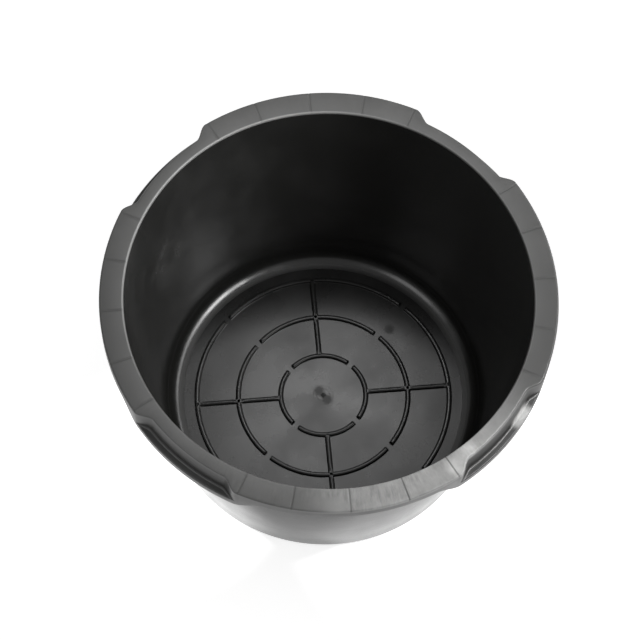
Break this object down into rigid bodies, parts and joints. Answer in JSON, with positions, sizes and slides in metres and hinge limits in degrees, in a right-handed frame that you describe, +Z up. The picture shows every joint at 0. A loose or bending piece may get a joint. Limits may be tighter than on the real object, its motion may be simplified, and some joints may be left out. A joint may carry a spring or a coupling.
{
  "type": "florist bucket",
  "caption": "Tapered round plastic bucket for cut flowers, with a flat skirted rim, scooped hand holds and a ribbed floor.",
  "frame": {"origin": "middle of the foot, on the surface that the bucket stands on", "axes": "+Z up the bucket's axis; the hand holds lie on the X and Y axes and the floor spokes halfway between them"},
  "size_m": [0.3, 0.3, 0.182],
  "materials": {
    "rim_plastic": "black moulded plastic, satin and scuffed",
    "wall_plastic": "black moulded plastic, smooth and semi-gloss",
    "floor_plastic": "black moulded plastic, satin"
  },
  "bodies": {
    "root": {"bucket_wall": "wall_plastic", "foot_ring": "wall_plastic", "floor_panel": "floor_plastic", "gate_mark": "floor_plastic", "rim_flange": "rim_plastic", "rim_skirt": "rim_plastic", "hand_hold_1": "rim_plastic", "floor_ribs_1": "floor_plastic", "rim_gusset_1_1": "wall_plastic", "rim_gusset_1_2": "wall_plastic", "rim_gusset_1_3": "wall_plastic", "rim_gusset_1_4": "wall_plastic", "rim_gusset_1_5": "wall_plastic", "hand_hold_2": "rim_plastic", "floor_ribs_2": "floor_plastic", "rim_gusset_2_1": "wall_plastic", "rim_gusset_2_2": "wall_plastic", "rim_gusset_2_3": "wall_plastic", "rim_gusset_2_4": "wall_plastic", "rim_gusset_2_5": "wall_plastic", "hand_hold_3": "rim_plastic", "floor_ribs_3": "floor_plastic", "rim_gusset_3_1": "wall_plastic", "rim_gusset_3_2": "wall_plastic", "rim_gusset_3_3": "wall_plastic", "rim_gusset_3_4": "wall_plastic", "rim_gusset_3_5": "wall_plastic", "hand_hold_4": "rim_plastic", "floor_ribs_4": "floor_plastic", "rim_gusset_4_1": "wall_plastic", "rim_gusset_4_2": "wall_plastic", "rim_gusset_4_3": "wall_plastic", "rim_gusset_4_4": "wall_plastic", "rim_gusset_4_5": "wall_plastic"}
  },
  "joints": []
}
